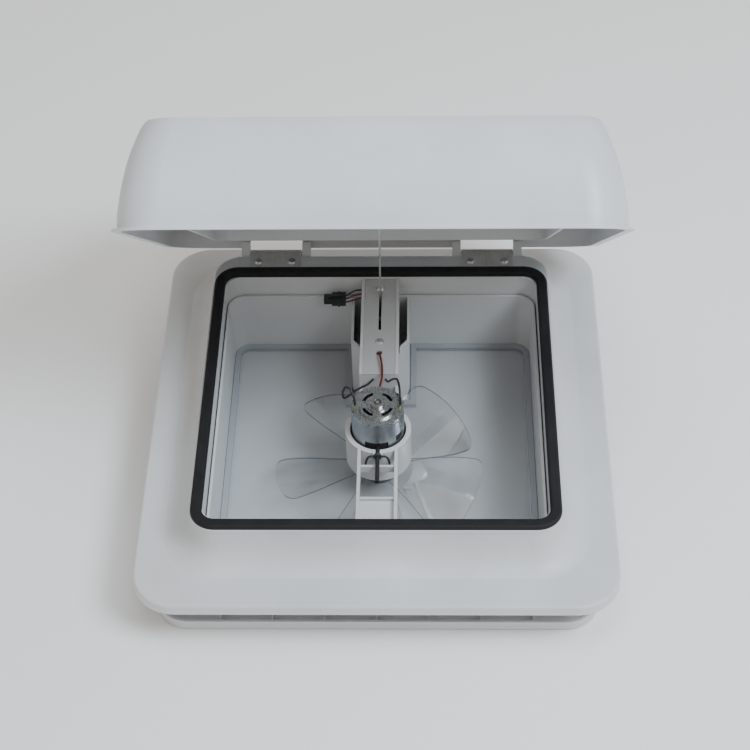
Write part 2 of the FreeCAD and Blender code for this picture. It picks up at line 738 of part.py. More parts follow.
def make_fan():
    level = d.fan_level.value
    line = d.motor_line.value
    hub = Part.makeCylinder(d.hub_radius.value, 20, Vector(0, 0, -10))
    hub = hub.makeFillet(2, [e for e in hub.Edges if at_height(-10)(e) or at_height(10)(e)])
    hollow = Part.makeCylinder(d.hub_radius.value - 2, 20, Vector(0, 0, -12))
    hub = hub.cut(hollow.cut(Part.makeCylinder(8, 20, Vector(0, 0, -12))))
    blade = blade_shape()
    shape = hub
    for n in range(int(d.blade_count)):
        one = blade.copy()
        one.rotate(Vector(0, 0, 0), Z, 46 + 72 * n)
        shape = shape.fuse(one)
    shape = shape.cut(Part.makeCylinder(4.0, 24, Vector(0, 0, -12)))
    fan = feature(shape, "Fan")
    done(fan, "fan_impeller", Placement(Vector(0, line, level), Rotation()))
    sleeve = ring(4.0, d.shaft_radius, 22, (0, d.motor_line, d.fan_level - 11))
    done(sleeve, "fan_bushing")


# ------------------------------------------------------------------ hinge

HINGE_SCREW = 190.5      # how far back the screws of the hinge leaves stand


def make_hinges():
    ledge = d.ledge_top
    for side, label in ((-1, "left"), (1, "right")):
        middle = d.hinge_spread * side
        half = d.bracket_width / 2
        span = (middle - half, middle + half)
        leaf = box(span, (d.deck_width / 2 + 1.5, d.hinge_back), (ledge, ledge + 1.6))
        barrel = rod(3.9, d.bracket_width, (middle - half, d.hinge_back, d.hinge_level), "x")
        rise = box(span, (d.hinge_back - 3, d.hinge_back), (d.hinge_level, ledge + 1.6))
        eye = rod(d.pin_radius, d.bracket_width + 2, (middle - half - 1, d.hinge_back, d.hinge_level), "x")
        holes = [rod(1.9, 6, (middle + x, HINGE_SCREW, ledge - 2)) for x in (-18, 18)]
        done(cut(fuse(leaf, rise, barrel), eye, *holes), "hinge_bracket_" + label)
        pin = rod(d.pin_radius, d.bracket_width + 20,
                  (middle - half - 10, d.hinge_back, d.hinge_level), "x")
        done(pin, "hinge_pin_" + label)


def hinge_screw_holes():
    return [rod(1.9, 12, (d.hinge_spread * side + x, HINGE_SCREW, d.ledge_top - 8))
            for side in (-1, 1) for x in (-18, 18)]


def make_hinge_screws():
    screws = [pan_screw((d.hinge_spread * side + x, HINGE_SCREW, d.ledge_top + 1.6), 1.9, 9)
              for side in (-1, 1) for x in (-18, 18)]
    done(group(*screws), "hinge_screws")


# ------------------------------------------------------------------ lid

# Share of the lid's height against how far the wall has come in, in millimetres.
LID_WALL = [(0.0, 0.0), (0.22, 1.0), (0.45, 4.6), (0.70, 10.8), (0.87, 17.0), (0.97, 22.0), (1.0, 24.6)]


def lid_placement():
    """The lid is drawn closed about its hinge line, then swung open."""
    return Placement(Vector(0, d.hinge_back.value, d.hinge_level.value), Rotation(X, -d.open_angle.value))


def lid_dome(body, skin, subtractive, name):
    """The lid's smooth dome, or its hollow when a skin is taken off."""
    sections = []
    middle = d.lid_rear - d.lid_depth / 2
    for n, (height, inward) in enumerate(LID_WALL):
        level = d.lid_rim + d.lid_height * height
        if skin and n == 0:
            level = level - 0.5
        if skin and n == len(LID_WALL) - 1:
            level = level - skin
        inset = as_size(2 * inward) + 2 * as_size(skin)
        sections.append(rect_sketch(body, "%s%d" % (name, n), d.lid_width - inset, d.lid_depth - inset,
                                    d.lid_corner - inward * 0.3 - skin, level, middle))
    loft(body, sections, subtractive, name)


def make_lid():
    body = new_body("Lid")
    middle = d.lid_rear - d.lid_depth / 2
    lid_dome(body, 0, False, "Dome")
    rim = rect_sketch(body, "Lip", d.lid_width + 2 * d.lip, d.lid_depth + 2 * d.lip,
                      d.lid_corner + d.lip, d.lid_rim, middle)
    pad(body, rim, 2.2)
    round_edges(body, 0.9, at_height(d.lid_rim.value + 2.2), "LipEdge")
    lid_dome(body, d.wall, True, "Inside")
    seal_level = d.deck_top + d.gasket_height + 0.4 - d.hinge_level
    rib = new_body("Rib")
    land = rect_sketch(rib, "SealRib", d.seal_rib, d.seal_rib, d.opening_corner + 6,
                       seal_level, -d.hinge_back,
                       inner=(d.seal_rib - 5, d.seal_rib - 5, d.opening_corner + 3.5))
    pad(rib, land, d.lid_rim + d.lid_height + 5 - seal_level)
    core = new_body("Core")
    lid_dome(core, d.wall / 2, False, "Core")
    seal_rib = doc.addObject("Part::Common", "SealRibInDome")
    seal_rib.Base, seal_rib.Tool = rib, core
    windows = []
    ears = []
    eyes = []
    for side in (-1, 1):
        middle_x = d.hinge_spread * side
        half = d.bracket_width / 2 + 1.2
        windows.append(box((middle_x - half, middle_x + half), (-10, 20), (-10, 15)))
        for low, high in ((-half - 9, -half), (half, half + 9)):
            ears.append(box((middle_x + low, middle_x + high), (-4.2, 5.9), (-4.6, 12)))
        eyes.append(rod(d.pin_radius + d.fit, 100, (middle_x - 50, 0, 0), "x"))
    windows_cut = cut(fuse(body, seal_rib), *windows)
    done(cut(fuse(windows_cut, *ears), *eyes), "lid_shell", lid_placement())


def make_track():
    """The channel under the lid's ceiling in which the pin of the lift arm runs."""
    ceiling = d.lid_rim + d.lid_height - d.wall
    level = d.track_level
    block = slab(9, (-232, -112), (level - 6, ceiling))
    cavity = slab(7.4, (-230, -114), (level - 4.2, level + 4.2))
    slot = slab(2.2, (-230, -114), (level - 8, level))
    done(cut(block, cavity, slot), "lid_track", lid_placement())


# ------------------------------------------------------------------ lift arm and gear

def sector_shape():
    """A sector of a worm wheel with straight sided teeth, pivot at the origin, arm along +Z."""
    module = d.gear_module.value
    side = d.arm_sheet.value / 2
    teeth = int(d.gear_teeth)
    pitch_radius = module * teeth / 2
    root = pitch_radius - 1.25 * module
    tip = pitch_radius + 0.9 * module
    step = 2 * math.pi / teeth
    outline = []
    first, last = -9, 0
    for n in range(first, last + 1):
        middle = n * step
        for radius, share in ((root, -0.34), (tip, -0.11), (tip, 0.11), (root, 0.34)):
            angle = middle + share * step
            outline.append(Vector(side, -radius * math.cos(angle), -radius * math.sin(angle)))
    return outline


def make_arm():
    pivot = Vector(0, d.arm_back.value, d.arm_level.value)
    lean = Rotation(X, -(OPEN_ARM - 90))
    thick = d.arm_sheet.value
    length = d.arm_length.value
    strip = Part.makeBox(thick, 8, length - 20, Vector(-thick / 2, -4, 0))
    head = Part.makeCylinder(6, thick, Vector(-thick / 2, 0, 0), X)
    neck = Part.makeBox(thick, 6, 22, Vector(-thick / 2, -3, length - 22))
    tip = Part.makeCylinder(3.0, thick, Vector(-thick / 2, 0, length), X)
    blade = strip.fuse([head, neck, tip])
    blade = blade.cut(Part.makeCylinder(3, 10, Vector(-5, 0, 0), X))
    blade = blade.cut(Part.makeCylinder(1.5, 10, Vector(-5, 0, length), X))
    done(feature(blade, "Arm"), "lift_arm", Placement(pivot, lean))

    outline = sector_shape()
    side = thick / 2
    hub_point = [Vector(side, 5, -3), Vector(side, 5, 5)]
    wire = Part.makePolygon(outline + hub_point + [outline[0]])
    plate = Part.Face(wire).extrude(Vector(3.4, 0, 0))
    boss = Part.makeCylinder(7, 3.4, Vector(side, 0, 0), X)
    gear = plate.fuse(boss).cut(Part.makeCylinder(3, 20, Vector(-5, 0, 0), X))
    done(feature(gear, "Sector"), "sector_gear", Placement(pivot, Rotation()))

    pin = Part.makeCylinder(1.5, 13, Vector(-6.5, 0, length), X)
    for start in (-6.4, thick / 2 + 0.1):
        pin = pin.fuse(Part.makeCylinder(3.0, 5.2, Vector(start, 0, length), X))
    done(feature(pin, "Slide"), "arm_slide_pin", Placement(pivot, lean))

    axle = rod(3 - d.fit, 21, (-10.5, d.arm_back, d.arm_level), "x")
    done(axle, "arm_axle")


def make_gear_housing():
    """A box under the bar with two cheeks for the arm's axle and a bearing for the worm."""
    half = 10.5
    front, back = WORM_BACK - 12, 160
    top = d.rail_bottom
    block = box((-half, half), (front, back), (-16, top))
    chamber = box((-6.2, 6.2), (WORM_BACK, back + 1), (-12, top + 1))
    throat = rod(9.3, 40, (0, WORM_BACK, -8))
    journal = rod(4.0 + d.fit, 20, (0, WORM_BACK, -20))
    eye = rod(3 - d.fit, 30, (-15, d.arm_back, d.arm_level), "x")
    cheeks = []
    for low, high in ((-10.4, -6.2), (6.2, 10.4)):
        cheeks.append(box((low, high), (d.arm_back - 9, d.arm_back + 9), (10, d.arm_level + 8)))
    done(cut(fuse(cut(block, chamber, throat, journal), *cheeks), eye), "gear_housing")


def make_worm():
    """The worm on its upright shaft, with one thread that the sector's teeth run in."""
    module = d.gear_module.value
    pitch = math.pi * module
    core = d.worm_radius.value - 1.25 * module
    crest = d.worm_radius.value + 0.85 * module
    low = d.arm_level.value - 12
    high = d.arm_level.value + 11.5
    helix = Part.makeHelix(pitch, high - low - pitch, core - 0.2)
    helix.translate(Vector(0, 0, low + pitch / 2))
    points = [Vector(core - 0.3, 0, -0.34 * pitch), Vector(crest, 0, -0.11 * pitch),
              Vector(crest, 0, 0.11 * pitch), Vector(core - 0.3, 0, 0.34 * pitch)]
    profile = Part.makePolygon(points + [points[0]])
    profile.translate(Vector(0, 0, low + pitch / 2))
    thread = Part.Wire(helix).makePipeShell([profile], True, True)
    worm = Part.makeCylinder(core, high - low, Vector(0, 0, low)).fuse(thread)
    shaft = Part.makeCylinder(4.0, 60, Vector(0, 0, -49))
    shaft = shaft.cut(Part.makeCylinder(1.4, 9, Vector(0, 0, -49)))
    collar = Part.makeCylinder(6.5, 2.5, Vector(0, 0, low - 5))
    worm = worm.fuse([shaft, collar])
    flat = Part.makeBox(3, 10, 10, Vector(2.9, -5, -49))
    place = Placement(Vector(0, WORM_BACK, 0), Rotation(Z, MESH_PHASE))
    done(feature(worm.cut(flat), "Worm"), "worm_shaft", place)


# ------------------------------------------------------------------ crank knob and switch

def make_knob():
    """A fluted knob in the recess of the control housing, held by one screw."""
    low = d.garnish_face.value + 1
    knob = Part.makeCylinder(19, 15, Vector(0, 0, low))
    knob = knob.makeChamfer(1.2, [e for e in knob.Edges if at_height(low)(e)])
    for n in range(12):
        turn = math.radians(30 * n)
        flute = Vector(20.3 * math.cos(turn), 20.3 * math.sin(turn), low - 0.5)
        knob = knob.cut(Part.makeCylinder(2.6, 16, flute))
    knob = knob.cut(Part.makeCylinder(4.0, 13, Vector(0, 0, low + 3)))
    knob = knob.cut(Part.makeCylinder(1.6, 5, Vector(0, 0, low - 1)))
    knob = knob.cut(Part.makeCylinder(3.2, 1.6, Vector(0, 0, low)))
    line = Vector(0, WORM_BACK, 0)
    done(feature(knob, "Knob"), "crank_knob", Placement(line, Rotation()))
    screw = Part.makeCylinder(3.0, 1.5, Vector(0, 0, low))
    screw = screw.fuse(Part.makeCylinder(1.4, 9, Vector(0, 0, low + 1)))
    done(feature(screw, "KnobScrew"), "knob_screw", Placement(line, Rotation()))


ROCKER_LEVEL = -34.0


def make_switch():
    """A three position rocker switch beside the knob: extract, off and intake."""
    back = SWITCH_BACK
    ceiling = d.garnish_face + 18
    shell = fuse(slab(6.5, (back - 9.5, back + 9.5), (ceiling - 1, -18)),
                 slab(7.6, (back - 10.8, back + 10.8), (ceiling - 1.6, ceiling)))
    cavity = slab(4.6, (back - 8.9, back + 8.9), (-45, -26))
    eye = rod(1.3, 12, (-6, back, ROCKER_LEVEL), "x")
    done(cut(shell, cavity, eye), "switch_body")
    outline = [Vector(0, -8.2, -1.6), Vector(0, -8.2, -5.4), Vector(0, 0, -3.6), Vector(0, 8.2, -5.4),
               Vector(0, 8.2, -1.6), Vector(0, 0, 2.4)]
    wire = Part.makePolygon(outline + [outline[0]])
    paddle = Part.Face(wire).extrude(Vector(8.6, 0, 0))
    paddle.translate(Vector(-4.3, 0, 0))
    pivot = Part.makeCylinder(1.25, 11, Vector(-5.5, 0, 0), X)
    done(feature(paddle.fuse(pivot), "Rocker"), "switch_rocker",
         Placement(Vector(0, back, ROCKER_LEVEL), Rotation()))


# ------------------------------------------------------------------ wires

def tube(points, radius):
    """A round wire along straight runs, with an arc as large as the runs allow at each corner."""
    points = [Vector(*p) for p in points]
    edges = []
    radii = []
    start = points[0]
    for before, corner, after in zip(points, points[1:], points[2:]):
        incoming, outgoing = corner - before, after - corner
        turn = incoming.getAngle(outgoing)
        reach = 0.45 * min(incoming.Length, outgoing.Length)
        radii.append(reach / math.tan(turn / 2))
        into = corner - incoming.normalize() * reach
        out = corner + outgoing.normalize() * reach
        bisector = (outgoing - incoming).normalize()
        centre = corner + bisector * (radii[-1] / math.cos(turn / 2))
        middle = centre - bisector * radii[-1]
        edges.append(Part.LineSegment(start, into).toShape())
        edges.append(Part.Arc(into, middle, out).toShape())
        start = out
    edges.append(Part.LineSegment(start, points[-1]).toShape())
    path = Part.Wire(edges)
    circle = Part.Wire(Part.Circle(points[0], points[1] - points[0], radius).toShape())
    shape = path.makePipeShell([circle], True, True)
    expected = math.pi * radius * radius * path.Length
    print("   wire %.1f mm long, radii %s, volume %.3f of expected" % (
        path.Length, " ".join("%.1f" % r for r in radii), shape.Volume / expected))
    return shape


# Held leads between the motor and the bar.
LEADS = {
    "motor_lead_left": [(-22.2, -30, 66.1), (-22.8, -29, 74), (-26.5, -22, 80), (-31, -20, 81), (-34.5, -24, 76),
                        (-33.5, -26, 70), (-29, -19, 65), (-24, -8, 60), (-17, 4, 53), (-11, 15, 45),
                        (-6, 26.2, 40.4)],
    "motor_lead_right": [(22.2, -30, 66.1), (22.2, -28, 74), (21.5, -17, 78), (19.5, -6, 76), (16, 4, 66),
                         (12.5, 13, 54), (9, 18.5, 45), (7, 26, 40.6)],
    "motor_lead_red": [(0, 57, 43), (0, 56.4, 48), (0.6, 52, 51), (2, 44, 52), (3.4, 34, 51), (3.6, 24, 49),
                       (2, 14, 47.5), (0.4, 5, 46.6), (0, -3.8, 46)],
}

# The short supply wires hang free, from the clamp inside the bar to the connector.
PIGTAIL = {
    "supply_wire_upper": [(-5, 155, 40), (-13, 155.5, 40), (-20.5, 155.6, 40.5), (-27, 155.2, 40),
                          (-32.5, 154.6, 36.5), (-37.2, 154.5, 32.5)],
    "supply_wire_middle": [(-5, 151, 39), (-13, 151.4, 38.6), (-20.5, 151.6, 38.6), (-27, 151.8, 36.4),
                           (-32, 151.6, 33.4), (-37.2, 151.5, 31)],
    "supply_wire_lower": [(-5, 148, 38), (-13, 147.6, 37.5), (-20.5, 147.4, 36.8), (-27, 147.6, 34),
                          (-32, 148, 31), (-37.2, 148.5, 29)],
}


def make_wires():
    for label, route in LEADS.items():
        done(feature(tube(route, 1.1), "Lead"), label)
    for label, route in PIGTAIL.items():
        done(feature(tube(route, 0.8), "Wire"), label)


def make_connector():
    """A three way plug on the end of the supply wires."""
    low = 26.2
    shell = box((-52, -37.2), (145.5, 158), (low, low + 8.6))
    nose = box((-60.5, -51), (147, 156.5), (low + 1, low + 7.4))
    latch = box((-56, -41), (150, 153.5), (low + 8, low + 10))
    collar = box((-45.5, -43.5), (144.8, 158.7), (low - 0.6, low + 9.2))
    sockets = [box((-61, -54), (y - 1.1, y + 1.1), (low + 3, low + 5.4)) for y in (148.8, 151.8, 154.8)]
    entries = [rod(1.5, 3, (-39, y, z), "x") for y, z in ((154.5, 32.5), (151.5, 31), (148.5, 29))]
    done(cut(fuse(shell, nose, latch, collar), *sockets, *entries), "supply_connector")


def make_clamp():
    """The screw that clamps the motor in its cup, and the spring clip under its head."""
    front = d.motor_line - d.cup_radius
    screw = rod(2.15, 44, (0, d.motor_line - d.can_radius - 44.2, CLAMP_LEVEL), "y")
    done(screw, "motor_clamp_screw")
    arms = []
    y = front.value - 4.6
    for side in (-1, 1):
        route = [(side * 2.9, y, CLAMP_LEVEL), (side * 9, y - 0.5, CLAMP_LEVEL + 0.5),
                 (side * 11.6, y - 2.5, CLAMP_LEVEL - 5), (side * 11.8, y - 3.5, CLAMP_LEVEL - 13)]
        arms.append(feature(tube(route, 1.1), "ClipArm"))
    collar = ring(4.0, 2.2, 2.6, (0, y - 1.3, CLAMP_LEVEL), "y")
    done(fuse(collar, *arms), "motor_clip")


make_base()
make_gasket()
make_garnish()
make_garnish_screws()
make_housing()
make_screen()
make_bar()
make_bar_cover()
make_bar_screws()
make_motor()
make_rotor()
make_fan()
make_hinges()
make_hinge_screws()
make_lid()
make_track()
make_arm()
make_gear_housing()
make_worm()
make_knob()
make_switch()
make_wires()
make_connector()
make_clamp()


def check_and_write():
    """Stop on any failed object, then write one STEP file to a node."""
    doc.recompute()
    for obj in doc.Objects:
        if {"Invalid", "Error"} & set(obj.State):
            raise RuntimeError("failed: %s %s" % (obj.Name, obj.Label))
    os.makedirs("parts", exist_ok=True)
    for label, obj in subparts:
        shape = obj.Shape
        if shape.isNull() or not shape.isValid():
            raise RuntimeError("bad shape: " + label)
        shape.exportStep(os.path.join("parts", label + ".step"))
        print("%-22s solids %2d  volume %10.1f" % (label, len(shape.Solids), shape.Volume))


check_and_write()
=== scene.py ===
"""Looks for the roof vent with a raised lid, clear fan and insect screen. Metres, in the CAD frame."""

import math

import bmesh
import bpy
from mathutils import Matrix, Vector


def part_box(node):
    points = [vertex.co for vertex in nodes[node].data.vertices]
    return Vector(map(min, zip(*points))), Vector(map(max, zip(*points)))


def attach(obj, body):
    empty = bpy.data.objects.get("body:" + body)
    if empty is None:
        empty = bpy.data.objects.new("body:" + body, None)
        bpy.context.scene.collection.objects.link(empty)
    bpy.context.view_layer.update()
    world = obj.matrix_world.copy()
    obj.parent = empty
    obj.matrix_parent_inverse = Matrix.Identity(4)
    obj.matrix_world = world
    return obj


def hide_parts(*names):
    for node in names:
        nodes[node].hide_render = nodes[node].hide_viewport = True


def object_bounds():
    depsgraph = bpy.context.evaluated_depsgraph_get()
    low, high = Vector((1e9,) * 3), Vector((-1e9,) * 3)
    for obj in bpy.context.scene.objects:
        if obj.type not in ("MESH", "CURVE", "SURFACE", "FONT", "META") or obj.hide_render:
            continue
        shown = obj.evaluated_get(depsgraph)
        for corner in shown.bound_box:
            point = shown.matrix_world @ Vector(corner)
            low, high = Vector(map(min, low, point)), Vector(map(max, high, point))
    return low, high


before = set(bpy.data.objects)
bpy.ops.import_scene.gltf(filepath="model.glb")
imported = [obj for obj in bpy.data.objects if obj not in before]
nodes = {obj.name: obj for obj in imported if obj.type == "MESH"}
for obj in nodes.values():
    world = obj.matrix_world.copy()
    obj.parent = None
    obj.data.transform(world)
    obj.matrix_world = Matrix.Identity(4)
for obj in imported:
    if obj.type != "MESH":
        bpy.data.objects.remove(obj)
cad_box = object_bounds()
scene = bpy.context.scene


# ---------------------------------------------------------------- camera

CAMERA_PLACE = (0.0450, -1.1989, 1.3754)
CAMERA_DEGREES = (47.29, 2.28, -1.75)       # elevation, yaw and roll
SENSOR_WIDTH = 36
LENS = 85.97


def make_camera():
    """Looks down at the front of the vent, a little from its right."""
    elevation, yaw, roll = (math.radians(angle) for angle in CAMERA_DEGREES)
    ahead = Vector((-math.sin(yaw) * math.cos(elevation),
                    math.cos(yaw) * math.cos(elevation),
                    -math.sin(elevation)))
    right = ahead.cross(Vector((0, 0, 1))).normalized()
    up = right.cross(ahead)
    tilted_right = math.cos(roll) * right + math.sin(roll) * up
    tilted_up = math.cos(roll) * up - math.sin(roll) * right
    data = bpy.data.cameras.new("Camera")
    data.sensor_width = SENSOR_WIDTH
    data.lens = LENS
    camera = bpy.data.objects.new("Camera", data)
    scene.collection.objects.link(camera)
    turn = Matrix((tilted_right, tilted_up, -ahead)).transposed().to_4x4()
    camera.matrix_world = Matrix.Translation(CAMERA_PLACE) @ turn
    scene.camera = camera


make_camera()


# ---------------------------------------------------------------- supply wires

ROUTES = {
    "supply_wire_upper": [(-5, 155, 40), (-13, 155.5, 40), (-20.5, 155.6, 40.5), (-27, 155.2, 40),
                          (-32.5, 154.6, 36.5), (-37.2, 154.5, 32.5)],
    "supply_wire_middle": [(-5, 151, 39), (-13, 151.4, 38.6), (-20.5, 151.6, 38.6), (-27, 151.8, 36.4),
                           (-32, 151.6, 33.4), (-37.2, 151.5, 31)],
    "supply_wire_lower": [(-5, 148, 38), (-13, 147.6, 37.5), (-20.5, 147.4, 36.8), (-27, 147.6, 34),
                          (-32, 148, 31), (-37.2, 148.5, 29)],
}
WIRE_RADIUS = 0.0008


def make_wire(node, route):
    """A free supply wire on the same route as its CAD node."""
    data = bpy.data.curves.new(node + "_flex", "CURVE")
    data.dimensions = "3D"
    data.bevel_depth = 1.0
    data.bevel_resolution = 4
    data.resolution_u = 16
    data.use_fill_caps = True
    spline = data.splines.new("NURBS")
    spline.points.add(len(route) - 1)
    for point, place in zip(spline.points, route):
        point.co = (place[0] / 1000, place[1] / 1000, place[2] / 1000, 1)
        point.radius = WIRE_RADIUS
    spline.order_u = 3
    spline.use_endpoint_u = True
    wire = bpy.data.objects.new(node + "_flex", data)
    scene.collection.objects.link(wire)
    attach(wire, "frame")
    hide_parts(node)
    return wire


wires = {node: make_wire(node, route) for node, route in ROUTES.items()}


# ---------------------------------------------------------------- material tools

class Look:
    """A node material round one Principled shader."""

    def __init__(self, name, colour, roughness, metallic=0.0):
        self.material = bpy.data.materials.new(name)
        self.material.use_nodes = True
        self.material.diffuse_color = (*colour, 1)
        self.tree = self.material.node_tree
        self.shader = self.tree.nodes["Principled BSDF"]
        self.shader.inputs["Base Color"].default_value = (*colour, 1)
        self.shader.inputs["Roughness"].default_value = roughness
        self.shader.inputs["Metallic"].default_value = metallic
        self.colour = colour
        self.place = self.tree.nodes.new("ShaderNodeTexCoord").outputs["Object"]

    def link(self, source, target):
        self.tree.links.new(source, target)

    def stretched(self, scale):
        mapping = self.tree.nodes.new("ShaderNodeMapping")
        mapping.inputs["Scale"].default_value = scale
        self.link(self.place, mapping.inputs["Vector"])
        return mapping.outputs["Vector"]

    def noise(self, scale, detail=3.0, rough=0.5, vector=None):
        node = self.tree.nodes.new("ShaderNodeTexNoise")
        node.inputs["Scale"].default_value = scale
        node.inputs["Detail"].default_value = detail
        node.inputs["Roughness"].default_value = rough
        self.link(vector or self.place, node.inputs["Vector"])
        return node.outputs["Fac"]

    def cells(self, scale):
        node = self.tree.nodes.new("ShaderNodeTexVoronoi")
        node.inputs["Scale"].default_value = scale
        self.link(self.place, node.inputs["Vector"])
        return node.outputs["Distance"]

    def span(self, value, low, high, to_low, to_high):
        node = self.tree.nodes.new("ShaderNodeMapRange")
        bounds = {"From Min": low, "From Max": high, "To Min": to_low, "To Max": to_high}
        for socket, number in bounds.items():
            node.inputs[socket].default_value = number
        self.link(value, node.inputs["Value"])
        return node.outputs["Result"]

    def blend(self, factor, first, second):
        """Mixes two colours; each is a socket or a triple."""
        node = self.tree.nodes.new("ShaderNodeMix")
        node.data_type = "RGBA"
        self.link(factor, node.inputs["Factor"])
        for letter, colour in (("A", first), ("B", second)):
            socket = next(s for s in node.inputs if s.name == letter and s.type == "RGBA")
            if hasattr(colour, "links"):
                self.link(colour, socket)
            else:
                socket.default_value = (*colour, 1)
        return next(s for s in node.outputs if s.type == "RGBA")

    def shade(self, share):
        return tuple(min(1.0, c * share) for c in self.colour)

    def edges(self):
        """Near 0.5 on flat faces and higher along worn edges."""
        return self.tree.nodes.new("ShaderNodeNewGeometry").outputs["Pointiness"]

    def colour_from(self, socket):
        self.link(socket, self.shader.inputs["Base Color"])

    def roughness_from(self, value, low, high):
        self.link(self.span(value, 0.3, 0.7, low, high), self.shader.inputs["Roughness"])

    def bump(self, *layers):
        """Each layer is a height socket with its strength and depth in metres."""
        last = None
        for height, strength, depth in layers:
            node = self.tree.nodes.new("ShaderNodeBump")
            node.inputs["Strength"].default_value = strength
            node.inputs["Distance"].default_value = depth
            self.link(height, node.inputs["Height"])
            if last:
                self.link(last, node.inputs["Normal"])
            last = node.outputs["Normal"]
        self.link(last, self.shader.inputs["Normal"])


def moulded(name, colour, roughness, wear=1.08, dust=0.90, grain=0.5):
    """Moulded plastic: faint flow mottling, fine spark-eroded grain, light edges and a little dust."""
    look = Look(name, colour, roughness)
    flow = look.noise(9, 4, 0.55)
    tone = look.blend(look.span(flow, 0.35, 0.68, 0, 1), look.shade(dust), look.colour)
    worn = look.blend(look.span(look.edges(), 0.53, 0.62, 0, 0.8), tone, look.shade(wear))
    specks = look.span(look.noise(420, 2, 0.6), 0.70, 0.80, 0, 0.25)
    look.colour_from(look.blend(specks, worn, look.shade(0.72)))
    look.roughness_from(look.noise(55, 4, 0.6), roughness - 0.07, roughness + 0.09)
    look.bump((look.noise(1500, 2, 0.5), grain * 0.35, 0.00012), (look.noise(34, 2, 0.4), 0.10, 0.0010))
    look.shader.inputs["Specular IOR Level"].default_value = 0.42
    return look.material


def metal(name, colour, roughness, stretch, metallic=1.0):
    """Drawn or ground metal with fine lines along one direction and darker stains."""
    look = Look(name, colour, roughness, metallic)
    lines = look.noise(1.0, 3, 0.6, look.stretched(stretch))
    stain = look.noise(60, 4, 0.6)
    tone = look.blend(look.span(stain, 0.40, 0.75, 0, 0.7), look.colour, look.shade(0.62))
    look.colour_from(look.blend(look.span(lines, 0.35, 0.65, 0, 0.5), tone, look.shade(1.14)))
    look.roughness_from(lines, roughness - 0.08, roughness + 0.12)
    look.bump((lines, 0.12, 0.00008))
    return look.material


def foam_rubber(name, colour):
    look = Look(name, colour, 0.62)
    pores = look.cells(1100)
    broad = look.noise(45, 3, 0.6)
    tone = look.blend(look.span(broad, 0.35, 0.7, 0, 1), look.colour, look.shade(1.5))
    # The pores are painted darker: painted shade in the pore hollows. The broad lighter tone varies at
    # random.
    look.colour_from(look.blend(look.span(pores, 0.0, 0.35, 0.6, 0), tone, look.shade(0.35)))
    look.roughness_from(broad, 0.52, 0.74)
    look.bump((pores, 0.35, 0.0002), (broad, 0.3, 0.0008))
    look.shader.inputs["Specular IOR Level"].default_value = 0.22
    return look.material


def clear_plastic(name):
    """Clear sheet: nearly invisible on its faces, a mirror gloss, and its cut edges painted dark, a
    painted shade in place of the light that the clear edges bend away.
    """
    look = Look(name, (0.86, 0.90, 0.93), 0.05, 1.0)
    split = look.tree.nodes.new("ShaderNodeSeparateXYZ")
    look.link(look.tree.nodes.new("ShaderNodeNewGeometry").outputs["Normal"], split.inputs["Vector"])
    upright = look.tree.nodes.new("ShaderNodeMath")
    upright.operation = "ABSOLUTE"
    look.link(split.outputs["Z"], upright.inputs[0])
    face = look.span(upright.outputs["Value"], 0.45, 0.75, 0, 1)
    # Edges, told apart from faces by their normal, get a dark colour: painted shade for the light the
    # clear edges bend away, not a tint of the plastic.
    look.colour_from(look.blend(face, (0.10, 0.115, 0.125), look.colour))
    haze = look.span(look.noise(38, 3, 0.5), 0.40, 0.66, 0.08, 0.22)
    rim = look.tree.nodes.new("ShaderNodeMix")
    rim.inputs["A"].default_value = 0.62
    look.link(face, rim.inputs["Factor"])
    look.link(haze, rim.inputs["B"])
    look.link(rim.outputs["Result"], look.shader.inputs["Alpha"])
    look.roughness_from(look.noise(120, 3, 0.6), 0.03, 0.10)
    look.bump((look.noise(26, 2, 0.5), 0.20, 0.0012))
    return look.material


def sleeve(name, colour):
    """Soft wire insulation."""
    look = Look(name, colour, 0.42)
    smear = look.noise(300, 3, 0.6)
    look.colour_from(look.blend(look.span(smear, 0.4, 0.7, 0, 1), look.colour, look.shade(0.62)))
    look.roughness_from(smear, 0.36, 0.55)
    look.bump((smear, 0.2, 0.0001))
    return look.material


# ---------------------------------------------------------------- finishes for the CAD nodes

white = (0.655, 0.668, 0.670)
shell = moulded("shell", white, 0.42)
lid_skin = moulded("lid_skin", (0.665, 0.69, 0.71), 0.38)
# The bar's grey is its own tone darkened further: painted shade of the well it stands in.
bar_plastic = moulded("bar_plastic", (0.60, 0.60, 0.585), 0.40)
black = moulded("black_plastic", (0.022, 0.022, 0.024), 0.45, wear=2.2, dust=0.8)
nylon = moulded("gear_nylon", (0.035, 0.035, 0.038), 0.42, wear=1.8, dust=0.8)
# The screen rim's grey is its own tone darkened further: painted shade of the well under the lid.
screen_rim = moulded("screen_rim", (0.36, 0.38, 0.40), 0.45)
cover_plastic = moulded("cover_plastic", (0.47, 0.47, 0.455), 0.40)
magnet = moulded("magnet", (0.015, 0.015, 0.017), 0.6, wear=1.6, dust=0.8)
knob_skin = moulded("knob_skin", (0.60, 0.62, 0.63), 0.36)

can_steel = metal("can_steel", (0.40, 0.43, 0.46), 0.40, (40, 40, 1400))
cap_steel = metal("cap_steel", (0.46, 0.465, 0.455), 0.25, (300, 300, 300))
bush_bronze = metal("bush_bronze", (0.20, 0.18, 0.14), 0.40, (400, 400, 400))
plain_steel = metal("plain_steel", (0.56, 0.56, 0.57), 0.30, (1500, 200, 200))
screw_steel = metal("screw_steel", (0.66, 0.66, 0.66), 0.28, (700, 700, 700))
bracket_metal = metal("bracket_metal", (0.60, 0.595, 0.575), 0.42, (900, 60, 900), 0.15)
brass = metal("brass", (0.66, 0.66, 0.28), 0.30, (600, 600, 100))
dark_steel = metal("dark_steel", (0.06, 0.06, 0.062), 0.38, (300, 900, 300), 0.8)

